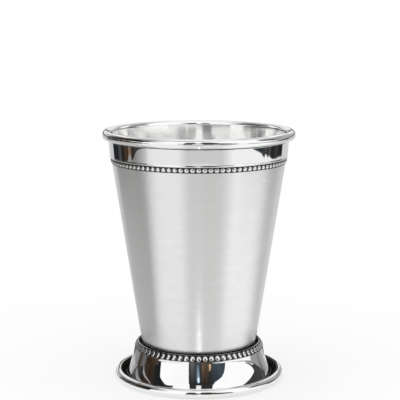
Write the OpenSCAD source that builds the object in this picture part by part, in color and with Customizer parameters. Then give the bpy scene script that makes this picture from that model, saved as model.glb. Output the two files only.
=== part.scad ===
// Julep cup: a tapered satin cup with a rolled rim, a polished collar and two rows of beading,
// soldered onto a flared foot. Sizes are in millimetres. The cup stands on z = 0, its axis on Z.

/* [Cup] */
// Height over the rolled rim
cup_h = 116.5; // [106:0.5:130]
// Diameter over the rolled rim
rim_d = 89; // [84:0.5:96]
// Diameter that the straight taper reaches level with the top of the foot
body_base_d = 53.5; // [50:0.1:56]
// Thickness of the cup's wall
wall_t = 0.8; // [0.6:0.05:1]
// Thickness of the cup's floor
floor_t = 1.2; // [1:0.1:1.6]
// Radius of the rounded corner between the wall and the floor, outside
corner_r = 6; // [4:0.5:7]

/* [Rim and collar] */
// Height of the rolled rim's section
rim_roll_h = 4.2; // [4:0.1:4.6]
// Reach of the rim past the collar's lower edge
rim_overhang = 3.65; // [3.4:0.05:4]
// Height of the polished collar
collar_h = 7.9; // [6:0.1:12]
// Gap between the collar and the underside of the roll
collar_gap = 0.4; // [0.3:0.05:0.6]
// How much wider the collar is at its top than at its lower edge
collar_spread = 0.75; // [0.5:0.05:0.9]
// Thickness of the collar
collar_t = 0.55; // [0.4:0.05:0.7]
// Thickness of the rounded lip at the collar's lower edge
collar_lip_d = 0.7; // [0.65:0.05:0.9]

/* [Beading] */
// Height of the beaded band under the collar
mouth_band_h = 2.5; // [2.3:0.1:3]
// Number of beads under the collar
mouth_bead_count = 96; // [80:1:104]
// Number of beads round the foot's shoulder
foot_bead_count = 64; // [56:1:68]
// Thickness of the strips that carry the beads
band_t = 0.2; // [0.15:0.05:0.3]
// Height of the beads above their strip
bead_rise = 0.35; // [0.25:0.05:0.45]
// Straight length in the middle of a bead on the foot
foot_bead_straight = 0.8; // [0.4:0.1:1]
// Width of a bead as a share of the room it has
bead_share = 0.96; // [0.9:0.01:0.98]

/* [Foot] */
// Height of the foot
foot_h = 17.3; // [15:0.1:20]
// Diameter over the foot's roll
foot_d = 79; // [74:0.1:84]
// Diameter of the foot roll's section
foot_roll_d = 4.4; // [4:0.1:5]
// Width of the flat that the foot stands on
foot_flat_w = 1.4; // [1:0.1:1.8]
// Gap left between the cup's taper and the foot's lip
crevice_w = 0.45; // [0.3:0.05:0.6]
// Width of the smooth lip inside the beading
lip_w = 1.25; // [1:0.05:1.8]
// Width of the sloping shoulder that carries the beading
shoulder_w = 1.6; // [1.4:0.1:2]
// Height of the sloping shoulder
shoulder_h = 2.8; // [2.5:0.1:3.2]
// Thickness of the flared skirt
skirt_t = 1; // [0.7:0.05:1.2]
// How far the skirt's flare bows in at mid height
flare_bow = 0.75; // [0.3:0.05:1.2]
// Gap between the skirt and the foot's roll
gutter_w = 0.55; // [0.3:0.05:1]
// Height of the gutter's floor
gutter_z = 2; // [1.8:0.05:2.3]
// Thickness of the flange under the gutter
flange_t = 0.9; // [0.6:0.05:1]
// Reach of the flange into the roll
flange_lap = 1.8; // [1.4:0.1:2.2]

/* [Seat of the cup in the foot] */
// Depth of the cup's underside below the foot's lip
cup_sink = 3.9; // [3.4:0.1:4.4]
// Thickness of the plate under the cup
plate_t = 1.2; // [0.8:0.1:1.6]
// Diameter of the plate's centring boss
boss_d = 16; // [10:1:24]
// Height of the centring boss
boss_h = 0.4; // [0.2:0.05:0.5]
// Height of the solder in the well round the cup
solder_h = 1.4; // [0.8:0.1:2]

/* [Joints] */
// Wall of the rolled edges
roll_wall_t = 0.75; // [0.6:0.05:0.9]
// Gap between round faces that are soldered together
seam = 0.05; // [0.03:0.01:0.08]

/* [Hidden] */
$fn = 128;

// One overrun for all cuts
overrun = 1;
// Steps in a rounded corner, along the foot's flare, and round an oval
corner_steps = 18;
flare_steps = 14;
oval_steps = 48;

// Rim, collar and the mouth of the body
rim_r = rim_d / 2;
rim_seat_z = cup_h - rim_roll_h / 2;
collar_top_z = cup_h - rim_roll_h - collar_gap;
collar_z = collar_top_z - collar_h;
mouth_base_r = rim_r - rim_overhang - collar_t;
mouth_lean = atan(collar_spread / collar_h);

// Top edge of the wall, and the roll on it: as wide as makes its inside run on from the wall's
seat_outer_r = mouth_base_r + (rim_seat_z - collar_z) * tan(mouth_lean);
seat_inner_r = seat_outer_r - wall_t / cos(mouth_lean);
rim_reach = rim_r - seat_inner_r;
rim_roll_w = rim_reach - pow(rim_roll_h / 2 * tan(mouth_lean), 2) / rim_reach;
rim_centre = [rim_r - rim_roll_w / 2, rim_seat_z];
curl_end_z = cup_h - rim_roll_h + roll_wall_t;

// Taper of the body
body_base_r = body_base_d / 2;
body_lean = atan((mouth_base_r - body_base_r) / (collar_z - foot_h));
floor_z = foot_h - cup_sink;

// Foot
foot_r = foot_d / 2;
foot_roll_r = foot_roll_d / 2;
foot_roll_z = sqrt(pow(foot_roll_r, 2) - pow(foot_flat_w / 2, 2));
foot_centre = [foot_r - foot_roll_r, foot_roll_z];
neck_r = body_base_r + crevice_w;
lip_round_r = lip_w / 3;
shoulder_top_r = neck_r + lip_w;
skirt_top_r = shoulder_top_r + shoulder_w;
skirt_top_z = foot_h - shoulder_h;
skirt_base_r = foot_r - foot_roll_d - gutter_w;
flange_r = foot_r - foot_roll_d + flange_lap;
plate_r = skirt_r(floor_z) - skirt_t - seam;

// Bands of beading: the middle of each on its wall, and how the wall leans from upright
mouth_band_mid = [body_r(collar_z - mouth_band_h / 2 - seam), collar_z - mouth_band_h / 2 - seam];
foot_band_h = norm([shoulder_w, shoulder_h]) - 2 * seam;
foot_band_mid = [(shoulder_top_r + skirt_top_r) / 2, (foot_h + skirt_top_z) / 2];
shoulder_lean = -atan(shoulder_w / shoulder_h);

// Outside radius of the tapered body at a height
function body_r(z) = body_base_r + (z - foot_h) * tan(body_lean);

// Outside radius of the body under the collar at a height
function mouth_r(z) = mouth_base_r + (z - collar_z) * tan(mouth_lean);

// Outside radius of the flared skirt at a height
function skirt_r(z) =
    let (up = (z - gutter_z) / (skirt_top_z - gutter_z))
    skirt_base_r + (skirt_top_r - skirt_base_r) * up - 4 * flare_bow * up * (1 - up);

// Centre of a rounded corner that meets a floor and the body's taper set in by an inset
function corner_centre(inset, radius, floor_height) =
    let (z = floor_height + radius)
    [body_r(z) - (inset + radius) / cos(body_lean), z];

// Points along an arc, from one angle to another
function arc(centre, radius, from, to) =
    [for (i = [0:corner_steps])
        let (a = from + (to - from) * i / corner_steps)
        centre + radius * [cos(a), sin(a)]];

// Points round an oval
function oval(centre, width, height) =
    [for (i = [0:oval_steps - 1])
        let (a = i * 360 / oval_steps)
        centre + [width / 2 * cos(a), height / 2 * sin(a)]];

// Tapered satin cup with a closed floor, recessed underneath for centring
module cup_body() {
    outer = corner_centre(0, corner_r, floor_z);
    inner_r = corner_r - wall_t;
    inner = corner_centre(wall_t, inner_r, floor_z + floor_t);
    wall_w = wall_t / cos(body_lean);
    recess_r = boss_d / 2 + seam;
    color([0.78, 0.78, 0.78])
        rotate_extrude()
            polygon(concat(
                [[0, floor_z + boss_h + seam], [recess_r, floor_z + boss_h + seam], [recess_r, floor_z]],
                arc(outer, corner_r, -90, -body_lean),
                [[mouth_base_r, collar_z]],
                [[seat_outer_r, rim_seat_z], [seat_inner_r, rim_seat_z]],
                [[mouth_base_r - wall_w, collar_z]],
                arc(inner, inner_r, -body_lean, -90),
                [[0, floor_z + floor_t]]
            ));
}

// Hollow rolled rim: it sits on the wall's top edge and curls down until it meets the wall again
module rim_roll() {
    inside_r = rim_r - rim_roll_w - overrun;
    color([0.86, 0.86, 0.87])
        rotate_extrude()
            difference() {
                polygon(oval(rim_centre, rim_roll_w, rim_roll_h));
                polygon(oval(rim_centre, rim_roll_w - 2 * roll_wall_t, rim_roll_h - 2 * roll_wall_t));
                polygon([
                    [inside_r, rim_seat_z],
                    rim_centre,
                    [rim_centre[0], curl_end_z],
                    [mouth_r(curl_end_z) + seam, curl_end_z],
                    [mouth_r(collar_top_z) + seam, collar_top_z],
                    [inside_r, collar_top_z]
                ]);
            }
}

// Polished sleeve under the rim, with a rounded lip at its lower edge
module mouth_collar() {
    lip_r = collar_lip_d / 2;
    color([0.86, 0.86, 0.87])
        rotate_extrude()
            difference() {
                union() {
                    polygon([
                        [mouth_base_r, collar_z + lip_r],
                        [mouth_r(collar_z + lip_r) + collar_t, collar_z + lip_r],
                        [mouth_r(collar_top_z) + collar_t, collar_top_z],
                        [mouth_r(collar_top_z), collar_top_z]
                    ]);
                    translate([mouth_base_r + seam + lip_r, collar_z + lip_r]) circle(lip_r);
                }
                polygon([
                    [mouth_r(collar_z - overrun) + seam - overrun, collar_z - overrun],
                    [mouth_r(collar_z - overrun) + seam, collar_z - overrun],
                    [mouth_r(collar_top_z + overrun) + seam, collar_top_z + overrun],
                    [mouth_r(collar_top_z + overrun) + seam - overrun, collar_top_z + overrun]
                ]);
            }
}

// Front of a round bead, cut off flat behind, which is longer than wide by its straight length
module bead(radius, straight, depth) {
    room = radius + straight / 2 + overrun;
    intersection() {
        translate([depth, -room, -room]) cube([room, 2 * room, 2 * room]);
        rotate(180)
            if (straight > 0)
                rotate_extrude()
                    intersection() {
                        union() {
                            translate([0, straight / 2]) circle(radius);
                            translate([0, -straight / 2]) circle(radius);
                            translate([0, -straight / 2]) square([radius, straight]);
                        }
                        translate([0, -room]) square([room, 2 * room]);
                    }
            else
                rotate([0, 90, 0]) sphere(radius);
    }
}

// Strip of beads on a wall that leans from upright: one flat link of the strip for each bead
module beaded_band(mid, lean, band_h, beads, straight) {
    room = 2 * PI * mid[0] / beads;
    bead_r = bead_share * room / 2;
    sink = bead_r - bead_rise - band_t;
    back = (band_t + seam) / 2;
    widest_r = mid[0] + band_h / 2 * abs(sin(lean)) + band_t;
    link_w = 2 * widest_r * tan(180 / beads);
    for (i = [0:beads - 1])
        rotate(i * 360 / beads)
            translate([mid[0], 0, mid[1]])
                rotate([0, lean, 0]) {
                    translate([seam, -link_w / 2, -band_h / 2])
                        cube([band_t - seam, link_w, band_h]);
                    translate([-sink, 0, 0]) bead(bead_r, straight, sink + back);
                }
}

// Beaded strip under the collar
module mouth_beading() {
    color([0.84, 0.84, 0.85])
        beaded_band(mouth_band_mid, body_lean, mouth_band_h, mouth_bead_count, 0);
}

// Flared skirt: lip, sloping shoulder, flare, and the flange that enters the foot's roll
module foot_skirt() {
    flange_z = gutter_z - flange_t;
    lip_centre = [neck_r + lip_round_r, foot_h - lip_round_r];
    flare = [for (i = [0:flare_steps])
        let (z = skirt_top_z + (gutter_z - skirt_top_z) * i / flare_steps)
        [skirt_r(z), z]];
    lining = [for (i = [0:flare_steps])
        let (z = flange_z + (floor_z - flange_z) * i / flare_steps)
        [skirt_r(max(z, gutter_z)) - skirt_t, z]];
    color([0.86, 0.86, 0.87])
        rotate_extrude()
            polygon(concat(
                [[neck_r, floor_z]],
                arc(lip_centre, lip_round_r, 180, 90),
                [[shoulder_top_r, foot_h]],
                flare,
                [[flange_r, gutter_z], [flange_r, flange_z]],
                lining
            ));
}

// Beaded strip on the foot's shoulder
module foot_beading() {
    color([0.84, 0.84, 0.85])
        beaded_band(foot_band_mid, shoulder_lean, foot_band_h, foot_bead_count, foot_bead_straight);
}

// Hollow rolled edge that the foot stands on, slotted inside for the skirt's flange
module foot_roll() {
    slot_r = foot_r - foot_roll_d - overrun;
    flange_z = gutter_z - flange_t;
    color([0.86, 0.86, 0.87])
        rotate_extrude()
            difference() {
                translate(foot_centre) circle(foot_roll_r);
                translate(foot_centre) circle(foot_roll_r - roll_wall_t);
                translate([slot_r, flange_z])
                    square([foot_centre[0] - slot_r, flange_t + seam]);
                translate([slot_r, -2 * overrun])
                    square([foot_roll_d + 2 * overrun, 2 * overrun]);
            }
}

// Plate inside the foot's neck that carries the cup and centres it with a low boss
module foot_plate() {
    color([0.7, 0.7, 0.7])
        rotate_extrude()
            polygon([
                [0, floor_z - plate_t],
                [plate_r, floor_z - plate_t],
                [plate_r, floor_z],
                [boss_d / 2, floor_z],
                [boss_d / 2, floor_z + boss_h],
                [0, floor_z + boss_h]
            ]);
}

// Solder in the well between the cup's corner, the foot's neck and the plate
module solder_ring() {
    corner = corner_centre(0, corner_r, floor_z);
    start_r = (corner[0] + neck_r) / 2;
    color([0.62, 0.55, 0.45])
        rotate_extrude()
            difference() {
                translate([start_r, floor_z]) square([neck_r - seam - start_r, solder_h]);
                translate(corner) circle(corner_r + seam);
            }
}

cup_body();
rim_roll();
mouth_collar();
mouth_beading();
foot_skirt();
foot_beading();
foot_roll();
foot_plate();
solder_ring();
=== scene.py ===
import math

import bmesh
import bpy
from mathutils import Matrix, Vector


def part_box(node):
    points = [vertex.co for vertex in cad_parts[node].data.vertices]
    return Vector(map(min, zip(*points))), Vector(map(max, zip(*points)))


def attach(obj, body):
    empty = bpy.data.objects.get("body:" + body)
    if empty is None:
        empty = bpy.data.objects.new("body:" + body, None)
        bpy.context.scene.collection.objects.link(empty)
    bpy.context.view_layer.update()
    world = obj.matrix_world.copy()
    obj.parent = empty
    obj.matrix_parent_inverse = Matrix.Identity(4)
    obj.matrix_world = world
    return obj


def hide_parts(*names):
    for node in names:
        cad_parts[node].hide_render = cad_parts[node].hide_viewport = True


print("julep cup: loading the frame")
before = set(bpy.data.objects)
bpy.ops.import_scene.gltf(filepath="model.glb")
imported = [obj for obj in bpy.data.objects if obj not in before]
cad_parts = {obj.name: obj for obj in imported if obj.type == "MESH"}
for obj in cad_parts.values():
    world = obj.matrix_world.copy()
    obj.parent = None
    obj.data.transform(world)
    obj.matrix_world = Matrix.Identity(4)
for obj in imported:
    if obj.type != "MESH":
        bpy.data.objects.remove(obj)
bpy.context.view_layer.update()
mm = 0.001
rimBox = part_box("rim_roll")
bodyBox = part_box("cup_body")
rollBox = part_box("foot_roll")
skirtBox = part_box("foot_skirt")

# Heights and radii that several pieces share, in millimetres, taken from the frame
rimOuter = rimBox[1].x / mm
rimTop = rimBox[1].z / mm
rimUnder = rimBox[0].z / mm
rimSeat = bodyBox[1].z / mm
cupUnder = bodyBox[0].z / mm
footOuter = rollBox[1].x / mm
footTop = skirtBox[1].z / mm


def linked(name, data):
    thing = bpy.data.objects.new(name, data)
    bpy.context.scene.collection.objects.link(thing)
    return thing


# Camera, at the photograph's place
cameraView = {
    "distance": 606.6,      # from the cup's axis, level with the ground
    "height": 179.9,
    "aside": 0.55,          # the cup stands a little left of the middle
    "pitch": 9.02,          # degrees below the horizon
    "lens": 119.36,
    "sensor": 36,
}


def placeCamera(view):
    data = bpy.data.cameras.new("camera")
    data.sensor_width = view["sensor"]
    data.lens = view["lens"]
    data.clip_start = 0.01
    camera = linked("camera", data)
    camera.location = (view["aside"] * mm, -view["distance"] * mm, view["height"] * mm)
    camera.rotation_euler = (math.radians(90 - view["pitch"]), 0, 0)
    bpy.context.scene.camera = camera


placeCamera(cameraView)
print("julep cup: camera placed")


# Small helpers for node trees

def feed(tree, node, values):
    # Links each input to a socket, or sets it to a plain value
    for name, value in values.items():
        if isinstance(value, bpy.types.NodeSocket):
            tree.links.new(value, node.inputs[name])
        else:
            node.inputs[name].default_value = value


def addNode(tree, kind, inputs=None, **settings):
    node = tree.nodes.new(kind)
    for name, value in settings.items():
        setattr(node, name, value)
    feed(tree, node, inputs or {})
    return node


def mathNode(tree, operation, first, second=0.0, third=0.0):
    inputs = {0: first, 1: second, 2: third}
    return addNode(tree, "ShaderNodeMath", inputs, operation=operation).outputs[0]


def ramped(tree, value, fromLow, fromHigh, low, high):
    return addNode(tree, "ShaderNodeMapRange", {
        "Value": value, "From Min": fromLow, "From Max": fromHigh,
        "To Min": low, "To Max": high}).outputs["Result"]


def mixColour(tree, mask, first, second):
    # Sockets 6 and 7 are the two colours, output 2 is the mixed one
    return addNode(tree, "ShaderNodeMix", {0: mask, 6: first, 7: second}, data_type="RGBA").outputs[2]


def vector(tree, x, y, z):
    return addNode(tree, "ShaderNodeCombineXYZ", {0: x, 1: y, 2: z}).outputs[0]


def objectPlace(tree):
    return addNode(tree, "ShaderNodeTexCoord").outputs["Object"]


def meshValue(tree, name):
    return addNode(tree, "ShaderNodeAttribute", attribute_name=name).outputs["Fac"]


def seededNoise(tree, place, seed, values):
    inputs = {"Vector": place, "W": seed, **values}
    return addNode(tree, "ShaderNodeTexNoise", inputs, noise_dimensions="4D").outputs["Fac"]


def newGroup(name, kind, inputs, outputs):
    tree = bpy.data.node_groups.new(name, kind)
    for label, socketType, default in inputs:
        socket = tree.interface.new_socket(name=label, in_out="INPUT", socket_type=socketType)
        if default is not None:
            socket.default_value = default
    for label, socketType in outputs:
        tree.interface.new_socket(name=label, in_out="OUTPUT", socket_type=socketType)
    return tree, tree.nodes.new("NodeGroupInput").outputs, tree.nodes.new("NodeGroupOutput").inputs


# Shader groups that several finishes use; their sizes are noise scales, so a larger one is finer

def makeTurnedGrain():
    # Fine lines that run round the axis, as a belt or a lathe leaves them
    tree, given, made = newGroup(
        "turnedGrain", "ShaderNodeTree",
        [("Lines per mm", "NodeSocketFloat", 9.0), ("Streak", "NodeSocketFloat", 20.0),
         ("Seed", "NodeSocketFloat", 0.0)],
        [("Grain", "NodeSocketFloat"), ("Band", "NodeSocketFloat")])
    changes = 3.0       # how often a line changes on its way round
    parts = addNode(tree, "ShaderNodeSeparateXYZ", {0: objectPlace(tree)})
    flat = vector(tree, parts.outputs[0], parts.outputs[1], 0.0)
    radius = addNode(tree, "ShaderNodeVectorMath", {0: flat}, operation="LENGTH").outputs["Value"]
    around = addNode(tree, "ShaderNodeVectorMath", {0: flat}, operation="NORMALIZE").outputs[0]
    turned = addNode(tree, "ShaderNodeSeparateXYZ", {0: around})
    across = mathNode(tree, "MULTIPLY", mathNode(tree, "ADD", parts.outputs[2], radius), 1 / mm)
    lines = mathNode(tree, "MULTIPLY", across, given["Lines per mm"])
    east = mathNode(tree, "MULTIPLY", turned.outputs[0], changes)
    north = mathNode(tree, "MULTIPLY", turned.outputs[1], changes)
    grain = seededNoise(tree, vector(tree, east, north, lines), given["Seed"],
                        {"Scale": 1.0, "Detail": 3.0, "Roughness": 0.65})
    coarse = mathNode(tree, "DIVIDE", lines, given["Streak"])
    band = seededNoise(tree, vector(tree, east, north, coarse), given["Seed"], {"Scale": 1.0, "Detail": 2.0})
    tree.links.new(grain, made["Grain"])
    tree.links.new(band, made["Band"])
    return tree


def makeHandling():
    # Where a polished piece was wiped and handled: soft smears, hairline scratches and a slight waviness
    tree, given, made = newGroup(
        "handling", "ShaderNodeTree",
        [("Smear size", "NodeSocketFloat", 60.0), ("Scratch size", "NodeSocketFloat", 900.0),
         ("Seed", "NodeSocketFloat", 0.0)],
        [("Smear", "NodeSocketFloat"), ("Scratch", "NodeSocketFloat"), ("Waviness", "NodeSocketFloat")])
    place = objectPlace(tree)
    smear = seededNoise(tree, place, given["Seed"],
                        {"Scale": given["Smear size"], "Detail": 5.0, "Distortion": 0.6})
    smearMask = ramped(tree, smear, 0.5, 0.75, 0.0, 1.0)
    cells = addNode(tree, "ShaderNodeTexVoronoi", {"Vector": place, "Scale": given["Scratch size"]},
                    feature="DISTANCE_TO_EDGE").outputs["Distance"]
    scratch = ramped(tree, cells, 0.0, 0.02, 1.0, 0.0)
    wave = seededNoise(tree, place, given["Seed"], {"Scale": 70.0, "Detail": 0.0})
    tree.links.new(smearMask, made["Smear"])
    tree.links.new(mathNode(tree, "MULTIPLY", scratch, smearMask), made["Scratch"])
    tree.links.new(wave, made["Waviness"])
    return tree


def makeSeamShadeMask():
    # Painted shade in the seams, crevices and undersides: the piece's own mesh value for it, broken up so
    # that its edge is uneven
    tree, given, made = newGroup(
        "seamShadeMask", "ShaderNodeTree",
        [("Unevenness", "NodeSocketFloat", 0.25), ("Grain size", "NodeSocketFloat", 900.0)],
        [("Mask", "NodeSocketFloat")])
    # how much painted shade each point of the piece has
    seamShade = meshValue(tree, "seamShade")
    speckle = addNode(tree, "ShaderNodeTexNoise", {
        "Vector": objectPlace(tree), "Scale": given["Grain size"], "Detail": 2.0}).outputs["Fac"]
    shift = mathNode(tree, "MULTIPLY", mathNode(tree, "SUBTRACT", speckle, 0.5), given["Unevenness"])
    darkened = mathNode(tree, "GREATER_THAN", seamShade, 0.02)
    uneven = mathNode(tree, "ADD", seamShade, mathNode(tree, "MULTIPLY", shift, darkened))
    tree.links.new(ramped(tree, uneven, 0.2, 0.8, 0.0, 1.0), made["Mask"])
    return tree


turnedGrain = makeTurnedGrain()
handling = makeHandling()
seamShadeMask = makeSeamShadeMask()


def useGroup(tree, group, inputs):
    return addNode(tree, "ShaderNodeGroup", inputs, node_tree=group).outputs


def newMaterial(name, values):
    material = bpy.data.materials.new(name)
    material.use_nodes = True
    tree = material.node_tree
    shader = tree.nodes["Principled BSDF"]
    feed(tree, shader, values)
    return material, tree, shader


def addPaintedShade(tree, shader, look, clean, rough):
    # The painted shade is dark and rough, and no metal, so that it has no shine at a low angle either
    # the mask of the painted shade, which darkens the colour and takes away the metal
    paintedShade = useGroup(tree, seamShadeMask, look["paintedShade"])["Mask"]
    feed(tree, shader, {
        "Base Color": mixColour(tree, paintedShade, clean, look["seamShadeColour"]),
        "Metallic": mathNode(tree, "SUBTRACT", 1.0, paintedShade),
        "Roughness": mathNode(tree, "MULTIPLY_ADD", paintedShade, look["paintedShadeRoughness"], rough)})


def addBump(tree, shader, height, distance):
    bump = addNode(tree, "ShaderNodeBump", {"Height": height, "Distance": distance, "Strength": 1.0})
    tree.links.new(bump.outputs[0], shader.inputs["Normal"])


# Brushed outside and inside of the cup
satin = {
    "dark": (0.74, 0.74, 0.735, 1),
    "light": (0.84, 0.84, 0.835, 1),
    # colour of the shade painted into seams and crevices
    "seamShadeColour": (0.03, 0.026, 0.022, 1),
    "inside": (0.93, 0.93, 0.92, 1),
    "roughness": (0.22, 0.29),
    "insideShine": 0.3,         # how much of that roughness the finer brushed inside keeps
    "insideRelief": 0.15,       # and how much of the relief
    "anisotropic": 0.93,
    "bump": 0.00003,
    "lines": {"Lines per mm": 7.0, "Streak": 25.0, "Seed": 1.0},
    "lineShare": 0.6,           # the rest of the pattern is broader bands
    # how the painted shade's edge is broken up, and how much rougher it makes the surface
    "paintedShade": {"Unevenness": 0.3, "Grain size": 1200.0},
    "paintedShadeRoughness": 0.6,
}


def makeSatinSteel(look):
    material, tree, shader = newMaterial("satinSteel", {
        "Anisotropic": look["anisotropic"], "Anisotropic Rotation": 0.25, "Specular IOR Level": 0.0})
    grain = useGroup(tree, turnedGrain, look["lines"])
    bands = mathNode(tree, "MULTIPLY", grain["Band"], 1 - look["lineShare"])
    mixed = mathNode(tree, "MULTIPLY_ADD", grain["Grain"], look["lineShare"], bands)
    outside = mixColour(tree, ramped(tree, mixed, 0.25, 0.75, 0, 1), look["dark"], look["light"])
    polish = meshValue(tree, "polish")
    clean = mixColour(tree, polish, outside, look["inside"])
    rough = ramped(tree, mixed, 0.25, 0.75, *look["roughness"])
    shine = ramped(tree, polish, 0.0, 1.0, 1.0, look["insideShine"])
    addPaintedShade(tree, shader, look, clean, mathNode(tree, "MULTIPLY", rough, shine))
    keptRelief = ramped(tree, polish, 0.0, 1.0, 1.0, look["insideRelief"])
    addBump(tree, shader, mathNode(tree, "MULTIPLY", grain["Grain"], keptRelief), look["bump"])
    tangent = addNode(tree, "ShaderNodeTangent", direction_type="RADIAL", axis="Z")
    tree.links.new(tangent.outputs[0], shader.inputs["Tangent"])
    return material


# Mirror polish of the rim, the collar and the foot
mirror = {
    "clean": (0.87, 0.87, 0.87, 1),
    "smeared": (0.82, 0.82, 0.81, 1),
    # colour of the shade painted into seams and crevices
    "seamShadeColour": (0.02, 0.018, 0.016, 1),
    "roughness": (0.02, 0.06),
    "scratchRoughness": 0.1,
    "waviness": 0.00003,
    "marks": {"Smear size": 70.0, "Scratch size": 800.0, "Seed": 3.0},
    # how the painted shade's edge is broken up, and how much rougher it makes the surface
    "paintedShade": {"Unevenness": 0.3, "Grain size": 900.0},
    "paintedShadeRoughness": 0.6,
}


def makeMirrorSteel(look):
    material, tree, shader = newMaterial("mirrorSteel", {"Specular IOR Level": 0.0})
    marks = useGroup(tree, handling, look["marks"])
    worn = mixColour(tree, marks["Smear"], look["clean"], look["smeared"])
    rough = ramped(tree, marks["Smear"], 0.0, 1.0, *look["roughness"])
    scratched = mathNode(tree, "MULTIPLY_ADD", marks["Scratch"], look["scratchRoughness"], rough)
    addPaintedShade(tree, shader, look, worn, scratched)
    addBump(tree, shader, marks["Waviness"], look["waviness"])
    return material


# Beads: bright crowns, with painted shade dark in the hollows between them
beadLook = {
    # the near-black is painted shade at a bead's foot
    "hollow": (0.05, 0.047, 0.043, 1),
    "crown": (0.74, 0.74, 0.735, 1),
    "roughness": (0.4, 0.08),
    "rise": (0.25, 0.7),        # heights on the bead, as shares, where the dark ends and the bright begins
    "smearDrop": -0.08,         # smears lower the crown by this
    "marks": {"Smear size": 500.0, "Scratch size": 3000.0, "Seed": 4.0},
}


def makeBeadSteel(look):
    material, tree, shader = newMaterial("beadSteel", {"Metallic": 1.0})
    marks = useGroup(tree, handling, look["marks"])
    crown = mathNode(tree, "MULTIPLY_ADD", marks["Smear"], look["smearDrop"], meshValue(tree, "crown"))
    lit = ramped(tree, crown, *look["rise"], 0.0, 1.0)
    feed(tree, shader, {"Base Color": mixColour(tree, lit, look["hollow"], look["crown"]),
                        "Roughness": ramped(tree, lit, 0.0, 1.0, *look["roughness"])})
    return material


# The strip behind the beads, dark with painted shade, and the ring of solder
shadedStripLook = {
    "dark": (0.03, 0.028, 0.026, 1),
    "light": (0.1, 0.095, 0.09, 1),
    "roughness": (0.3, 0.5),
    "bump": 0,
    "marks": {"Smear size": 400.0, "Scratch size": 3000.0, "Seed": 5.0},
}
solderLook = {
    "dark": (0.16, 0.1, 0.055, 1),
    "light": (0.34, 0.25, 0.16, 1),
    "roughness": (0.35, 0.6),
    "bump": 0.0001,
    "marks": {"Smear size": 300.0, "Scratch size": 2000.0, "Seed": 9.0},
}


def makeDullMetal(name, look):
    material, tree, shader = newMaterial(name, {"Metallic": 1.0})
    marks = useGroup(tree, handling, look["marks"])
    feed(tree, shader, {
        "Base Color": mixColour(tree, marks["Smear"], look["dark"], look["light"]),
        "Roughness": ramped(tree, marks["Waviness"], 0.25, 0.75, *look["roughness"])})
    if look["bump"]:
        addBump(tree, shader, marks["Waviness"], look["bump"])
    return material


# The plate that closes the foot, turned and left dull
plateLook = {
    "dark": (0.55, 0.55, 0.55, 1),
    "light": (0.66, 0.66, 0.65, 1),
    "roughness": (0.3, 0.45),
    "bump": 0.00002,
    "lines": {"Lines per mm": 2.5, "Streak": 8.0, "Seed": 7.0},
}


def makePlateSteel(look):
    material, tree, shader = newMaterial("plateSteel", {"Metallic": 1.0})
    grain = useGroup(tree, turnedGrain, look["lines"])
    band = ramped(tree, grain["Band"], 0.25, 0.75, 0, 1)
    feed(tree, shader, {
        "Base Color": mixColour(tree, band, look["dark"], look["light"]),
        "Roughness": ramped(tree, grain["Grain"], 0.25, 0.75, *look["roughness"])})
    addBump(tree, shader, grain["Band"], look["bump"])
    return material


satinSteel = makeSatinSteel(satin)
mirrorSteel = makeMirrorSteel(mirror)
beadSteel = makeBeadSteel(beadLook)
shadedStripSteel = makeDullMetal("shadedStripSteel", shadedStripLook)
plateSteel = makePlateSteel(plateLook)
solderMetal = makeDullMetal("solder", solderLook)
print("julep cup: materials made")


# Geometry Nodes: one tree turns an outline round the axis, another sets a row of beads

def finishTree(tree, surface, given, made):
    real = addNode(tree, "GeometryNodeRealizeInstances", {"Geometry": surface}).outputs[0]
    painted = addNode(tree, "GeometryNodeSetMaterial", {"Geometry": real, "Material": given["Material"]})
    tree.links.new(painted.outputs[0], made["Geometry"])


def makeTurningTree():
    tree, given, made = newGroup(
        "turnedOnTheAxis", "GeometryNodeTree",
        [("Outline", "NodeSocketGeometry", None), ("Outline Points", "NodeSocketInt", 10),
         ("Sides", "NodeSocketInt", 256), ("Material", "NodeSocketMaterial", None)],
        [("Geometry", "NodeSocketGeometry")])
    rows = mathNode(tree, "ADD", given["Sides"], 1.0)
    grid = addNode(tree, "GeometryNodeMeshGrid", {"Vertices X": given["Outline Points"], "Vertices Y": rows})
    index = addNode(tree, "GeometryNodeInputIndex").outputs[0]
    step = mathNode(tree, "FLOOR", mathNode(tree, "DIVIDE", mathNode(tree, "ADD", index, 0.5), rows))
    side = mathNode(tree, "SUBTRACT", index, mathNode(tree, "MULTIPLY", step, rows))
    angle = mathNode(tree, "MULTIPLY", mathNode(tree, "DIVIDE", side, given["Sides"]), 2 * math.pi)

    def fromOutline(value, kind):
        inputs = {"Geometry": given["Outline"], "Index": step}
        sample = addNode(tree, "GeometryNodeSampleIndex", inputs, data_type=kind)
        tree.links.new(value, sample.inputs["Value"])
        return sample.outputs[0]

    place = addNode(tree, "GeometryNodeInputPosition").outputs[0]
    point = addNode(tree, "ShaderNodeSeparateXYZ", {0: fromOutline(place, "FLOAT_VECTOR")})
    east = mathNode(tree, "MULTIPLY", point.outputs[0], mathNode(tree, "COSINE", angle))
    north = mathNode(tree, "MULTIPLY", point.outputs[0], mathNode(tree, "SINE", angle))
    turned = vector(tree, east, north, point.outputs[2])
    surface = grid.outputs["Mesh"]
    # the painted seam shade and the polish, carried over from the outline
    for label in ("seamShade", "polish"):
        written = addNode(tree, "GeometryNodeInputNamedAttribute", {"Name": label}, data_type="FLOAT")
        stored = addNode(tree, "GeometryNodeStoreNamedAttribute", {"Geometry": surface, "Name": label},
                         data_type="FLOAT", domain="POINT")
        tree.links.new(fromOutline(written.outputs[0], "FLOAT"), stored.inputs["Value"])
        surface = stored.outputs[0]
    moved = addNode(tree, "GeometryNodeSetPosition", {"Geometry": surface, "Position": turned}).outputs[0]
    welded = addNode(tree, "GeometryNodeMergeByDistance", {"Geometry": moved, "Distance": 1e-6}).outputs[0]
    smooth = addNode(tree, "GeometryNodeSetShadeSmooth", {"Geometry": welded, "Shade Smooth": True})
    finishTree(tree, smooth.outputs[0], given, made)
    return tree


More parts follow.
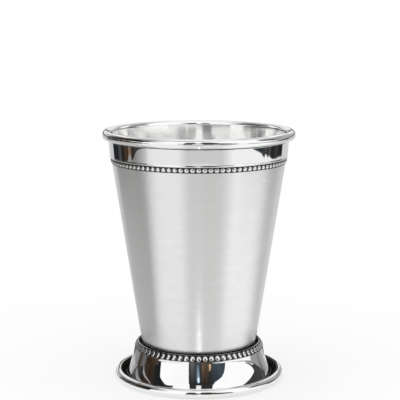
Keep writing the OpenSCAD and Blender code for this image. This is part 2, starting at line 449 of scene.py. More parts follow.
def makeBeadTree():
    # One bead, leant and set out from the axis, then turned round it once for each bead
    tree, given, made = newGroup(
        "rowOfBeads", "GeometryNodeTree",
        [("Geometry", "NodeSocketGeometry", None), ("Beads", "NodeSocketInt", 96),
         ("Radius", "NodeSocketFloat", 0.04), ("Height", "NodeSocketFloat", 0.1),
         ("Lean", "NodeSocketFloat", 0.0), ("Bead Size", "NodeSocketVector", (0.001, 0.001, 0.001)),
         ("Material", "NodeSocketMaterial", None)],
        [("Geometry", "NodeSocketGeometry")])
    cutBehind = -0.2        # the part of a bead behind this share of its radius is never seen

    def moved(surface, **inputs):
        return addNode(tree, "GeometryNodeTransform", {"Geometry": surface, **inputs}).outputs[0]

    ball = addNode(tree, "GeometryNodeMeshUVSphere", {"Segments": 12, "Rings": 9, "Radius": 1.0})
    place = addNode(tree, "GeometryNodeInputPosition").outputs[0]
    outwards = addNode(tree, "ShaderNodeSeparateXYZ", {0: place}).outputs[0]
    turnedBall = moved(ball.outputs[0], Rotation=(0.0, math.pi / 2, 0.0))
    crowned = addNode(tree, "GeometryNodeStoreNamedAttribute", {"Geometry": turnedBall, "Name": "crown"},
                      data_type="FLOAT", domain="POINT")
    tree.links.new(outwards, crowned.inputs["Value"])
    behind = addNode(tree, "FunctionNodeCompare", {"A": outwards, "B": cutBehind}, data_type="FLOAT",
                     operation="LESS_THAN").outputs[0]
    front = addNode(tree, "GeometryNodeDeleteGeometry", {"Geometry": crowned.outputs[0], "Selection": behind})
    shaped = moved(front.outputs[0], Scale=given["Bead Size"])
    spot = vector(tree, given["Radius"], 0.0, given["Height"])
    placed = moved(shaped, Translation=spot, Rotation=vector(tree, 0.0, given["Lean"], 0.0))
    bead = addNode(tree, "GeometryNodeSetShadeSmooth", {"Geometry": placed, "Shade Smooth": True}).outputs[0]
    points = addNode(tree, "GeometryNodePoints", {"Count": given["Beads"]}).outputs[0]
    index = addNode(tree, "GeometryNodeInputIndex").outputs[0]
    angle = mathNode(tree, "MULTIPLY", mathNode(tree, "DIVIDE", index, given["Beads"]), 2 * math.pi)
    row = addNode(tree, "GeometryNodeInstanceOnPoints", {
        "Points": points, "Instance": bead, "Rotation": vector(tree, 0.0, 0.0, angle)}).outputs[0]
    finishTree(tree, row, given, made)
    return tree


turningTree = makeTurningTree()
beadTree = makeBeadTree()


def bakeNodes(name, startMesh, tree, values):
    # Runs a tree on a start mesh and keeps the result as a plain mesh
    start = linked(name + "Start", startMesh)
    modifier = start.modifiers.new("shape", "NODES")
    modifier.node_group = tree
    sockets = {item.name: item.identifier for item in tree.interface.items_tree if item.in_out == "INPUT"}
    for label, value in values.items():
        modifier[sockets[label]] = value
    graph = bpy.context.evaluated_depsgraph_get()
    mesh = bpy.data.meshes.new_from_object(start.evaluated_get(graph), depsgraph=graph)
    mesh.name = name
    start.modifiers.remove(modifier)
    bpy.data.objects.remove(start)
    return linked(name, mesh)


def turnedPiece(name, outline, material, seamShade=None, polish=None, sides=360):
    # A closed outline in millimetres, turned round the axis; the painted seam shade and the polish give a
    # point's share of each
    start = bpy.data.meshes.new(name + "Outline")
    start.from_pydata([(x * mm, 0, z * mm) for x, z in outline], [], [])
    for label, share in (("seamShade", seamShade), ("polish", polish)):
        layer = start.attributes.new(label, "FLOAT", "POINT")
        for i, (x, z) in enumerate(outline):
            layer.data[i].value = share(x, z) if share else 0.0
    piece = bakeNodes(name, start, turningTree, {
        "Outline Points": len(outline), "Sides": sides, "Material": material})
    work = bmesh.new()
    work.from_mesh(piece.data)
    bmesh.ops.recalc_face_normals(work, faces=work.faces)
    work.to_mesh(piece.data)
    work.free()
    return piece


def fit(piece, node):
    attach(piece, "root")
    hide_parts(node)


# Outlines, worked out as points of radius and height

def arc(centre, radius, fromAngle, toAngle, steps):
    return oval(centre, 2 * radius, 2 * radius, fromAngle, toAngle, steps)


def oval(centre, width, height, fromAngle, toAngle, steps):
    angles = [math.radians(fromAngle + (toAngle - fromAngle) * s / steps) for s in range(steps + 1)]
    return [(centre[0] + width / 2 * math.cos(a), centre[1] + height / 2 * math.sin(a)) for a in angles]


def filleted(corners, closed=True, support=0.12, stepAngle=9):
    # corners are (radius, height, rounding); straight runs get a point near each end, so that they shade flat
    points = []
    count = len(corners)
    for i, (x, z, rounding) in enumerate(corners):
        here = (x, z)
        before = corners[i - 1][:2] if closed or i > 0 else None
        after = corners[(i + 1) % count][:2] if closed or i < count - 1 else None
        if before is None or after is None or rounding <= 0:
            points.append(here)
            continue
        a = math.atan2(before[1] - z, before[0] - x)
        b = math.atan2(after[1] - z, after[0] - x)
        half = abs((b - a + math.pi) % (2 * math.pi) - math.pi) / 2
        reach = min(rounding / math.tan(half), 0.48 * math.dist(here, before), 0.48 * math.dist(here, after))
        radius = reach * math.tan(half)
        middle = math.atan2((math.sin(a) + math.sin(b)) / 2, (math.cos(a) + math.cos(b)) / 2)
        centre = (x + math.cos(middle) * radius / math.sin(half),
                  z + math.sin(middle) * radius / math.sin(half))
        start = (x + math.cos(a) * reach, z + math.sin(a) * reach)
        end = (x + math.cos(b) * reach, z + math.sin(b) * reach)
        fromAngle = math.atan2(start[1] - centre[1], start[0] - centre[0])
        toAngle = math.atan2(end[1] - centre[1], end[0] - centre[0])
        turn = (toAngle - fromAngle + math.pi) % (2 * math.pi) - math.pi
        steps = max(2, math.ceil(abs(turn) / math.radians(stepAngle)))
        points += arc(centre, radius, math.degrees(fromAngle), math.degrees(fromAngle + turn), steps)
    if closed:
        points.append(points[0])
    out = [points[0]]
    for (x0, z0), (x1, z1) in zip(points[:-1], points[1:]):
        length = math.dist((x0, z0), (x1, z1))
        if length > 4 * support:
            for share in (support / length, 1 - support / length):
                out.append((x0 + (x1 - x0) * share, z0 + (z1 - z0) * share))
        out.append((x1, z1))
    return out


def fade(value, clean, darkened):
    # 0 at the unshaded end, 1 where the painted shade is full
    return min(1.0, max(0.0, (value - clean) / (darkened - clean)))


# The cup: a straight taper that turns under in a round corner, and is a little more upright behind the collar
cup = {
    "wall": 0.8,
    "floor": 1.2,
    "corner": 6.0,
    "collarEdge": 104.0,        # height where the taper meets the collar's lower edge
    "taperTop": 40.3,           # outside radius there
    "taperFoot": 26.75,         # outside radius level with the foot's lip
    "collarHeight": 7.9,
    "collarSpread": 0.75,       # how much wider the cup is at the top of the collar
    "footCreviceShade": (17.9, 17.5),        # heights where the painted shade starts and is full, above the foot
    "rimSeamShade": (111.5, 112.2),         # and under the rim
}
# the roll's painted shade: how strong it is on the underside, and the heights above the underside where it
# starts and is full
rim = {"wall": 0.75, "seam": 0.05, "undersideShadeShare": 0.6, "undersideShade": (0.35, 0.05)}
rimHeight = rimTop - rimUnder
taperLean = math.atan((cup["taperTop"] - cup["taperFoot"]) / (cup["collarEdge"] - footTop))
mouthLean = math.atan(cup["collarSpread"] / cup["collarHeight"])


def taperRadius(z):
    return cup["taperFoot"] + (z - footTop) * math.tan(taperLean)


def mouthRadius(z):
    return cup["taperTop"] + (z - cup["collarEdge"]) * math.tan(mouthLean)


# Top edge of the wall, and the roll on it: as wide as makes its inside run on from the wall's
seatOuter = mouthRadius(rimSeat)
seatInner = seatOuter - cup["wall"] / math.cos(mouthLean)
rimReach = rimOuter - seatInner
rimWidth = rimReach - (rimHeight / 2 * math.tan(mouthLean)) ** 2 / rimReach
rimCentre = (rimOuter - rimWidth / 2, rimSeat)


def cornerCentre(inset, radius, floorHeight):
    z = floorHeight + radius
    return (taperRadius(z) - (inset + radius) / math.cos(taperLean), z)


def makeCup(size):
    outerCorner = cornerCentre(0, size["corner"], cupUnder)
    innerRadius = size["corner"] - size["wall"]
    innerCorner = cornerCentre(size["wall"], innerRadius, cupUnder + size["floor"])
    edge = size["collarEdge"]
    mouthHeights = (edge + 0.3, 106, 108, 110, 111.2, 112.4, rimSeat - 0.05, rimSeat)
    taper = -math.degrees(taperLean)
    across = size["wall"] / math.cos(taperLean)
    outline = [(0, cupUnder), (outerCorner[0] - 0.5, cupUnder)]
    outline += arc(outerCorner, size["corner"], -90, taper, 30)
    outline += [(taperRadius(z), z) for z in (19.2, 20, 24, 40, 60, 80, 100, edge - 0.3)]
    outline += [(mouthRadius(z), z) for z in mouthHeights]
    outline += [(seatOuter - 0.05, rimSeat), (seatInner + 0.05, rimSeat)]
    outline += [(mouthRadius(z) - size["wall"] / math.cos(mouthLean), z) for z in reversed(mouthHeights)]
    outline += [(taperRadius(z) - across, z) for z in (edge - 0.5, 100, 80, 60, 40, 24, innerCorner[1] + 0.5)]
    outline += arc(innerCorner, innerRadius, taper, -90, 24)
    outline += [(innerCorner[0] - 0.5, cupUnder + size["floor"]), (0, cupUnder + size["floor"])]

    # painted shade on the outside of the wall, in the crevice above the foot and in the seam under the rim
    def seamShade(x, z):
        low = fade(z, *size["footCreviceShade"]) if z < 30 and x > taperRadius(z) - 0.4 else 0.0
        high = fade(z, *size["rimSeamShade"]) if z > 105 and x > mouthRadius(z) - 0.2 else 0.0
        return max(low, high)

    def polish(x, z):
        return 1.0 if z > cupUnder + 0.5 and x < min(taperRadius(z), mouthRadius(z)) - 0.4 else 0.0

    piece = turnedPiece("cupBody", outline, satinSteel, seamShade, polish)
    fit(piece, "cup_body")


makeCup(cup)
print("julep cup: body turned")


# The rim: a hollow roll on the wall's top edge, which curls down until it meets the wall again
def makeRim(size):
    halfWidth = rimWidth / 2
    halfHeight = rimHeight / 2
    curlEnd = rimUnder + size["wall"]
    start = 180 - math.degrees(math.atan(rimHeight / rimWidth * math.tan(mouthLean)))
    end = -90
    while rimCentre[0] + halfWidth * math.cos(math.radians(end)) > size["seam"] + mouthRadius(
            rimSeat + halfHeight * math.sin(math.radians(end))):
        end -= 0.5
    outline = [(seatInner, rimSeat), (seatInner + 0.05 * math.tan(mouthLean), rimSeat + 0.05)]
    outline += oval(rimCentre, rimWidth, rimHeight, start, end, 96)
    outline.append((mouthRadius(curlEnd) + size["seam"], curlEnd))
    outline += oval(rimCentre, rimWidth - 2 * size["wall"], rimHeight - 2 * size["wall"], -90, 180, 40)
    outline.append(outline[0])

    # painted shade on the roll's underside where it meets the collar, and inside the hollow of the roll
    def seamShade(x, z):
        clean, full = size["undersideShade"]
        underside = size["undersideShadeShare"] * fade(z, rimUnder + clean, rimUnder + full)
        seam = 1.0 if x < rimCentre[0] - 0.5 and z < rimSeat - 0.2 else 0.0
        return max(underside, seam)

    piece = turnedPiece("rimRoll", outline, mirrorSteel, seamShade)
    fit(piece, "rim_roll")


makeRim(rim)


# The collar: a thin polished sleeve with a rounded lip at its lower edge
# the last two give the reach of the painted shade under the rim and along the lip
collar = {"thickness": 0.55, "lip": 0.7, "seam": 0.05, "topShade": (0.1, 0.02), "lipShade": 0.12}


def makeCollar(size):
    lip = size["lip"] / 2
    edge = cup["collarEdge"]
    top = edge + cup["collarHeight"]
    lipCentre = (mouthRadius(edge) + size["seam"] + lip, edge + lip)
    outline = [(mouthRadius(edge + lip) + size["seam"], edge + lip)]
    outline += arc(lipCentre, lip, 180, 385, 24)
    faceHeights = [edge + 2 * lip + 0.05, edge + 2 * lip + 0.3, 106, 108, 110, 111, top - 0.25, top - 0.08]
    outline += [(mouthRadius(z) + size["thickness"], z) for z in faceHeights]
    outline += [(mouthRadius(top) + size["thickness"] - 0.06, top), (mouthRadius(top) + size["seam"], top)]
    outline.append(outline[0])

    # painted shade at the collar's top under the rim, and along its lower lip
    def seamShade(x, z):
        clean, full = size["topShade"]
        return max(fade(z, top - clean, top - full), fade(z, edge + size["lipShade"], edge))

    piece = turnedPiece("mouthCollar", outline, mirrorSteel, seamShade)
    fit(piece, "mouth_collar")


makeCollar(collar)
print("julep cup: rim and collar turned")


# Beading: a strip painted dark as shade on its wall, and a row of bright beads on the strip
mouthRow = {
    "beads": 96,
    "strip": 2.5,
    "stripThickness": 0.2,
    "rise": 0.55,
    "width": 2.5,
    "length": 2.2,
    "drop": 0.0,        # how far below the strip's middle the beads sit
}
footRow = {**mouthRow, "beads": 64, "strip": 3.1, "length": 2.85, "drop": 0.12}


def makeBeading(name, node, size, middle, lean):
    half = size["strip"] / 2
    c = math.cos(lean)
    s = math.sin(lean)

    def onWall(out, up):
        return (middle[0] + out * c + up * s, middle[1] - out * s + up * c)

    corners = [(*onWall(0.05, -half), 0), (*onWall(size["stripThickness"], -half), 0.06),
               (*onWall(size["stripThickness"], half), 0.06), (*onWall(0.05, half), 0)]
    strip = turnedPiece(name + "Strip", filleted(corners), shadedStripSteel)
    fit(strip, node)
    beadSpot = onWall(0, -size["drop"])
    beadSize = (size["rise"] * mm, size["width"] / 2 * mm, size["length"] / 2 * mm)
    beads = bakeNodes(name + "Beads", bpy.data.meshes.new(name + "Empty"), beadTree, {
        "Beads": size["beads"], "Radius": beadSpot[0] * mm, "Height": beadSpot[1] * mm, "Lean": lean,
        "Bead Size": beadSize, "Material": beadSteel})
    fit(beads, node)


mouthMiddle = cup["collarEdge"] - mouthRow["strip"] / 2 - 0.05
makeBeading("mouth", "mouth_beading", mouthRow, (taperRadius(mouthMiddle), mouthMiddle), taperLean)


# The foot: lip, sloping shoulder, hollow flare, and a flange that runs into the roll
foot = {
    "crevice": 0.45,
    "lip": 1.25,
    "shoulderWidth": 1.6,
    "shoulderHeight": 2.8,
    "wall": 1.0,
    "bow": 0.75,
    "gutter": 0.55,
    "gutterHeight": 2.0,
    "flange": 0.9,
    "flangeLap": 1.8,
    "roll": 4.4,
    "rollWall": 0.75,
    "flat": 1.4,
    # reach of the painted shade in the neck, in the gutter and inside the roll
    "neckShade": (1.2, 0.95),        # out from the neck
    "gutterShade": (1.2, 0.7),       # up from the gutter
    "rollShade": (0.35, 0.65),       # in from the middle of the roll
}
neckRadius = cup["taperFoot"] + foot["crevice"]
shoulderTop = neckRadius + foot["lip"]
skirtTop = (shoulderTop + foot["shoulderWidth"], footTop - foot["shoulderHeight"])
skirtBase = footOuter - foot["roll"] - foot["gutter"]


def skirtRadius(z):
    up = (z - foot["gutterHeight"]) / (skirtTop[1] - foot["gutterHeight"])
    return skirtBase + (skirtTop[0] - skirtBase) * up - 4 * foot["bow"] * up * (1 - up)


def makeSkirt(size):
    rows = 36
    low = size["gutterHeight"]
    flangeUnder = low - size["flange"]
    flangeEnd = footOuter - size["roll"] + size["flangeLap"]
    flareSpan = skirtTop[1] - low
    top = filleted([
        (neckRadius, cupUnder, 0), (neckRadius, footTop, size["lip"] / 3), (shoulderTop, footTop, 0.35),
        (*skirtTop, 0.2), (skirtRadius(skirtTop[1] - 0.8), skirtTop[1] - 0.8, 0)], closed=False)
    flareHeights = [skirtTop[1] - flareSpan * i / rows for i in range(3, rows)]
    flare = [(skirtRadius(z), z) for z in flareHeights]
    gutter = filleted([
        flare[-1] + (0,), (skirtBase, low, 0.25), (flangeEnd, low, 0), (flangeEnd, flangeUnder, 0),
        (skirtBase - size["wall"], flangeUnder, 0.4),
        (skirtRadius(low + 1) - size["wall"], low + 1, 0)], closed=False)
    heights = [low + 1 + (cupUnder - low - 1) * i / rows for i in range(1, rows + 1)]
    lining = [(skirtRadius(z) - size["wall"], z) for z in heights]
    outline = top + flare[:-1] + gutter + lining
    outline.append(outline[0])

    # painted shade in the neck beside the cup and in the gutter above the roll
    def seamShade(x, z):
        inNeck = z > cupUnder + 0.5 and x < skirtTop[0]
        inGutter = x > skirtRadius(max(z, low)) - 0.3
        neckEnds = [neckRadius + out for out in size["neckShade"]]
        gutterEnds = [low + up for up in size["gutterShade"]]
        return max(fade(x, *neckEnds) if inNeck else 0.0, fade(z, *gutterEnds) if inGutter else 0.0)

    piece = turnedPiece("footSkirt", outline, mirrorSteel, seamShade)
    fit(piece, "foot_skirt")


makeSkirt(foot)
shoulderLean = -math.atan(foot["shoulderWidth"] / foot["shoulderHeight"])
shoulderMiddle = ((shoulderTop + skirtTop[0]) / 2, (footTop + skirtTop[1]) / 2)
makeBeading("foot", "foot_beading", footRow, shoulderMiddle, shoulderLean)


def makeFootRoll(size):
    radius = size["roll"] / 2
    sink = math.sqrt(radius ** 2 - (size["flat"] / 2) ** 2)
    centre = (footOuter - radius, sink)
    inner = radius - size["rollWall"]
    slotTop = size["gutterHeight"] + 0.05
    slotUnder = size["gutterHeight"] - size["flange"]
    upper = 180 - math.degrees(math.asin((slotTop - centre[1]) / radius))
    lower = -180 - math.degrees(math.asin((slotUnder - centre[1]) / radius))
    upperInside = 180 - math.degrees(math.asin((slotTop - centre[1]) / inner))
    lowerInside = -180 - math.degrees(math.asin((slotUnder - centre[1]) / inner))
    flatAngle = math.degrees(math.asin(size["flat"] / 2 / radius))
    outline = arc(centre, radius, upper, -90 + flatAngle, 80)
    outline += arc(centre, radius, -90 - flatAngle, lower, 24)
    outline += arc(centre, inner, lowerInside, upperInside, 60)
    outline.append(outline[0])

    # painted shade on the roll's side that faces in, towards the gutter
    def seamShade(x, z):
        ends = [centre[0] - inwards for inwards in size["rollShade"]]
        return fade(x, *ends) if z > slotUnder else 0.0

    piece = turnedPiece("footRoll", outline, mirrorSteel, seamShade)
    fit(piece, "foot_roll")


makeFootRoll(foot)
print("julep cup: foot turned, beads set")


# Pieces whose CAD shape is shown as it is
for nodeName, finish in (("foot_plate", plateSteel), ("solder_ring", solderMetal)):
    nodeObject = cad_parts[nodeName]
    nodeObject.data.materials.clear()
    nodeObject.data.materials.append(finish)


# Studio: pale floor, even light, and cards that only show in polished metal
studio = {
    "ambient": 0.8,
    "sun": 0.8,
    "sunAside": -35,
    "sunHeight": 60,
    "sunSoftness": 110,
    "floor": (0.96, 0.96, 0.96, 1),
    "floorGlow": 0.55,
    "floorReach": 60,
    "paperScale": 40.0,
    "paperDarker": 0.99,
}


def backdropRays(tree):
    # 1 for the rays that show the backdrop as it is: from the camera, off metal and through glass
    path = addNode(tree, "ShaderNodeLightPath").outputs
    seen = mathNode(tree, "MAXIMUM", path["Is Camera Ray"], path["Is Glossy Ray"])
    return mathNode(tree, "MAXIMUM", seen, path["Is Transmission Ray"])


def makeWorld(level):
    world = bpy.data.worlds.new("studio")
    bpy.context.scene.world = world
    world.use_nodes = True
    tree = world.node_tree
    back = tree.nodes["Background"]
    back.inputs["Color"].default_value = (1, 1, 1, 1)
    tree.links.new(ramped(tree, backdropRays(tree), 0.0, 1.0, level, 1.0), back.inputs["Strength"])


def makeFloor(look):
    # White paper; the camera sees part of its white as glow, which leaves a faint shadow
    mesh = bpy.data.meshes.new("floor")
    far = look["floorReach"]
    mesh.from_pydata([(-far, -far, 0), (far, -far, 0), (far, far, 0), (-far, far, 0)], [], [(0, 1, 2, 3)])
    floor = linked("floor", mesh)
    material, tree, shader = newMaterial("floor", {
        "Roughness": 0.9, "Specular IOR Level": 0.1, "Emission Color": (1, 1, 1, 1)})
    paper = addNode(tree, "ShaderNodeTexNoise", {
        "Vector": objectPlace(tree), "Scale": look["paperScale"], "Detail": 2.0}).outputs["Fac"]
    colour = look["floor"]
    darker = tuple(c * look["paperDarker"] for c in colour[:3]) + (1,)
    white = mixColour(tree, paper, darker, colour)
    seen = backdropRays(tree)
    share = ramped(tree, seen, 0.0, 1.0, 1.0, 1 - look["floorGlow"])
    kept = addNode(tree, "ShaderNodeVectorMath", {0: white, "Scale": share}, operation="SCALE").outputs[0]
    feed(tree, shader, {
        "Base Color": kept, "Emission Strength": mathNode(tree, "MULTIPLY", seen, look["floorGlow"])})
    mesh.materials.append(material)


def softSun(look):
    data = bpy.data.lights.new("softSun", "SUN")
    data.energy = look["sun"]
    data.angle = math.radians(look["sunSoftness"])
    lamp = linked("softSun", data)
    lamp.rotation_euler = (math.radians(90 - look["sunHeight"]), 0, math.radians(look["sunAside"]))
    lamp.visible_glossy = False


def cardMaterial():
    material = bpy.data.materials.new("card")
    material.use_nodes = True
    tree = material.node_tree
    tree.nodes.clear()
    shade = addNode(tree, "ShaderNodeAttribute", attribute_name="shade").outputs["Color"]
    glow = addNode(tree, "ShaderNodeEmission", {"Color": shade, "Strength": 1.0})
    addNode(tree, "ShaderNodeOutputMaterial", {"Surface": glow.outputs[0]})
    return material


cardShade = cardMaterial()
tints = {"warm": (1.0, 0.66, 0.42), "cool": (0.62, 0.8, 1.0)}


def onFloor(height):
    return lambda a, reach: (reach * math.sin(a), -reach * math.cos(a), height)


def onWall(distance):
    return lambda a, reach: (distance * math.sin(a), -distance * math.cos(a), reach)


def tintOf(key):
    return tints[key[5]] if len(key) > 5 else (1, 1, 1)


def card(name, place, keys, stepAngle=3):
    # A card that follows a circle round the cup, on the floor or upright, and that only glossy rays see.
    # A key is (azimuth, low edge, high edge, brightness at the low edge, at the high edge) and a tint if any;
    # azimuth 0 is towards the camera and grows to the right
    verts = []
    shades = []
    for key, after in zip(keys, keys[1:] + keys[-1:]):
        steps = max(1, math.ceil((after[0] - key[0]) / stepAngle))
        for i in range(steps):
            share = i / steps
            azimuth, *edges = [p + (q - p) * share for p, q in zip(key[:5], after[:5])]
            tint = [p + (q - p) * share for p, q in zip(tintOf(key), tintOf(after))]
            for reach, brightness in zip(edges[:2], edges[2:]):
                verts.append(place(math.radians(azimuth), reach))
                shades.append((*[c * brightness for c in tint], 1))
    mesh = bpy.data.meshes.new(name)
    mesh.from_pydata(verts, [], [(i, i + 2, i + 3, i + 1) for i in range(0, len(verts) - 2, 2)])
    shadeLayer = mesh.attributes.new("shade", "FLOAT_COLOR", "POINT")
    for i, shade in enumerate(shades):
        shadeLayer.data[i].color = shade
    mesh.materials.append(cardShade)
    piece = linked(name, mesh)
    piece.visible_camera = False
    piece.visible_diffuse = False
    piece.visible_shadow = False
    piece.visible_transmission = False


def ring(low, high, levels):
    return [(azimuth, low, high, level, level) for azimuth, level in levels]


makeWorld(studio["ambient"])
makeFloor(studio)
softSun(studio)

# The table: near the cup it lights the body, farther out the collar
card("tableNear", onFloor(0.0006), ring(0.06, 0.41, [
    (-180, 0.72), (-150, 0.66), (-144, 0.56), (-80, 0.55), (-70, 0.88), (-63, 1.0), (-24, 0.97),
    (-16, 0.84), (-9, 0.8), (-5, 0.87), (-2, 0.83), (30, 0.82), (44, 1.07), (84, 1.1), (95, 1.02),
    (103, 0.86), (114, 0.7), (125, 0.66), (140, 0.75), (180, 0.72)]))
card("tableFar", onFloor(0.0007), ring(0.36, 0.79, [
    (-180, 0.74), (-137, 0.62), (-134, 0.4), (-100, 0.36), (-86, 0.26), (-80, 0.36), (-76, 0.42),
    (-69.6, 0.57), (-63.7, 0.84), (-58, 0.9), (-26, 0.92), (-14, 0.66), (28, 0.66), (42, 0.98), (98, 1.0),
    (112, 0.76), (140, 0.7), (180, 0.74)]))
card("bodyGlint", onFloor(0.0012), [
    (-2, 0.054, 0.068, 0.8, 0.8), (0.6, 0.052, 0.07, 5.0, 5.0), (3, 0.054, 0.068, 0.8, 0.8)])

# Beyond the table on both sides the room is dark, and its edge is uneven
card("darkLeft", onFloor(0.0009), [
    (-137, 0.57, 3, 0.02, 0.02, "cool"), (-128, 0.515, 3, 0.03, 0.03, "cool"), (-123, 0.5, 3, 0.02, 0.02),
    (-116, 0.482, 3, 0.09, 0.04), (-112, 0.472, 3, 0.02, 0.02), (-107, 0.466, 3, 0.03, 0.02, "warm"),
    (-103, 0.453, 3, 0.08, 0.03, "warm"), (-99, 0.4535, 3, 0.03, 0.03, "warm"),
    (-97.5, 0.464, 3, 0.2, 0.02, "warm"), (-94, 0.4615, 3, 0.25, 0.03, "warm"), (-92, 0.436, 3, 0.06, 0.02),
    (-88.8, 0.4375, 3, 0.03, 0.02, "warm"), (-86, 0.4435, 3, 0.05, 0.02, "warm"),
    (-84.6, 0.4455, 3, 0.05, 0.02), (-81, 0.4475, 3, 0.03, 0.02), (-74, 0.4405, 3, 0.03, 0.02, "cool"),
    (-68, 0.4338, 3, 0.04, 0.02, "cool"), (-58, 0.4268, 3, 0.05, 0.02, "cool")])
card("darkRight", onFloor(0.0009), [
    (57, 0.4255, 3, 0.05, 0.03, "cool"), (61, 0.4262, 3, 0.05, 0.03, "cool"),
    (68.7, 0.4324, 3, 0.06, 0.03, "cool"), (75, 0.437, 3, 0.06, 0.03, "cool"),
    (81.8, 0.4432, 3, 0.05, 0.03, "cool"), (84, 0.4445, 3, 0.03, 0.03), (86, 0.4415, 3, 0.05, 0.03),
    (89, 0.4415, 3, 0.06, 0.03), (90.8, 0.456, 3, 0.07, 0.03), (93, 0.457, 3, 0.05, 0.03),
    (95.5, 0.4525, 3, 0.03, 0.03), (98, 0.466, 3, 0.1, 0.03), (101, 0.4635, 3, 0.03, 0.03),
    (106, 0.47, 3, 0.02, 0.02), (112.6, 0.487, 3, 0.05, 0.02), (121, 0.52, 3, 0.02, 0.02),
    (130, 0.556, 3, 0.02, 0.02)])

# Walls: softboxes on both sides of the camera, dark room beside them, pale wall behind
card("softboxLeft", onWall(0.8), ring(0, 1.6, [(-67.5, 1.12), (-14, 1.12)]))
card("softboxRight", onWall(0.8), ring(0, 1.6, [(20, 1.12), (108, 1.12)]))
card("paleWallLeft", onWall(0.8), ring(0, 1.6, [
    (-180, 0.92), (-160, 0.85), (-150, 0.62), (-138, 0.5), (-126, 0.3)]))
card("paleWallRight", onWall(0.8), ring(0, 1.6, [
    (126, 0.34), (140, 0.46), (152, 0.6), (162, 0.85), (180, 0.92)]))
card("roomLeft", onWall(0.795), [
    (-134, 0.1, 0.62, 0.12, 0.12), (-130, 0.05, 0.62, 0.05, 0.1), (-126, 0.02, 0.64, 0.12, 0.16),
    (-122, 0, 0.64, 0.03, 0.03), (-116, 0, 0.65, 0.06, 0.08), (-110, 0, 0.65, 0.03, 0.04),
    (-104, 0, 0.8, 0.03, 0.02, "warm"), (-97, 0, 0.88, 0.06, 0.02, "warm"),
    (-90, 0, 0.88, 0.035, 0.02, "warm"), (-84, 0, 0.8, 0.05, 0.02, "warm"), (-77, 0, 0.7, 0.015, 0.02),
    (-67.5, 0, 0.66, 0.02, 0.02, "cool")])
card("roomLeftCorner", onWall(0.79), [
    (-67.5, 0.285, 0.66, 0.02, 0.02, "cool"), (-65.7, 0.331, 0.66, 0.02, 0.02, "cool"),
    (-62, 0.395, 0.66, 0.03, 0.02, "cool"), (-58.3, 0.458, 0.64, 0.03, 0.03, "cool"),
    (-52, 0.4925, 0.58, 0.05, 0.05, "cool"), (-44, 0.515, 0.54, 0.1, 0.1, "cool")])
card("roomLeftAbove", onWall(0.8), ring(0.66, 1.5, [
    (-134, 0.45), (-126, 0.3), (-100, 0.3), (-67.5, 0.3), (-50, 0.5)]))
card("streakLeft", onWall(0.785), [
    (-107, 0.02, 0.06, 0.1, 0.2), (-105, 0.03, 0.15, 0.2, 0.3), (-102.5, 0.12, 0.185, 0.3, 0.4),
    (-98, 0.2, 0.235, 0.4, 0.35), (-91, 0.278, 0.305, 0.35, 0.3), (-85, 0.35, 0.378, 0.3, 0.3)])
card("streakLeftOuter", onWall(0.785), [
    (-124, 0.03, 0.09, 0.3, 0.2), (-118, 0.1, 0.17, 0.2, 0.35), (-112, 0.18, 0.22, 0.3, 0.35),
    (-104, 0.262, 0.29, 0.35, 0.35), (-97, 0.33, 0.35, 0.4, 0.4)])
card("roomRight", onWall(0.79), [
    (77, 0.42, 0.6, 0.04, 0.03, "cool"), (79, 0.405, 0.62, 0.04, 0.03, "cool"),
    (85, 0.344, 0.64, 0.04, 0.03, "cool"), (91.6, 0.277, 0.66, 0.05, 0.04), (98.4, 0.2, 0.66, 0.05, 0.04),
    (102.4, 0.16, 0.66, 0.05, 0.04), (103.6, 0.128, 0.66, 0.06, 0.04), (104.2, 0, 0.66, 0.05, 0.04),
    (110, 0.012, 0.66, 0.07, 0.04), (117, 0.02, 0.66, 0.05, 0.05), (122, 0.02, 0.62, 0.09, 0.1),
    (127.4, 0.025, 0.6, 0.05, 0.12), (131, 0.03, 0.6, 0.1, 0.2), (134, 0.03, 0.6, 0.2, 0.3)])
card("roomRightAbove", onWall(0.785), [
    (91, 0.66, 1.2, 0.35, 0.5), (107, 0.3, 1.2, 0.3, 0.5), (112, 0.25, 1.2, 0.35, 0.45),
    (118.5, 0.2, 1.2, 0.4, 0.4), (127.4, 0.12, 1.2, 0.45, 0.45), (134, 0.03, 1.2, 0.5, 0.5)])
card("roomRightHook", onWall(0.785), [
    (88, 0.036, 0.044, 0.2, 0.2, "cool"), (94, 0.03, 0.052, 0.06, 0.06, "cool"),
    (99, 0.045, 0.078, 0.06, 0.06, "cool"), (102, 0.055, 0.1, 0.06, 0.06, "cool"),
    (104.4, 0.05, 0.14, 0.06, 0.06, "cool")])
card("lowRight", onWall(0.78), [
    (86, 0, 0.034, 0.5, 0.5), (94, 0, 0.026, 0.35, 0.4), (100, 0, 0.04, 0.32, 0.36),
    (106, 0, 0.03, 0.3, 0.3), (134, 0, 0.03, 0.34, 0.34)])

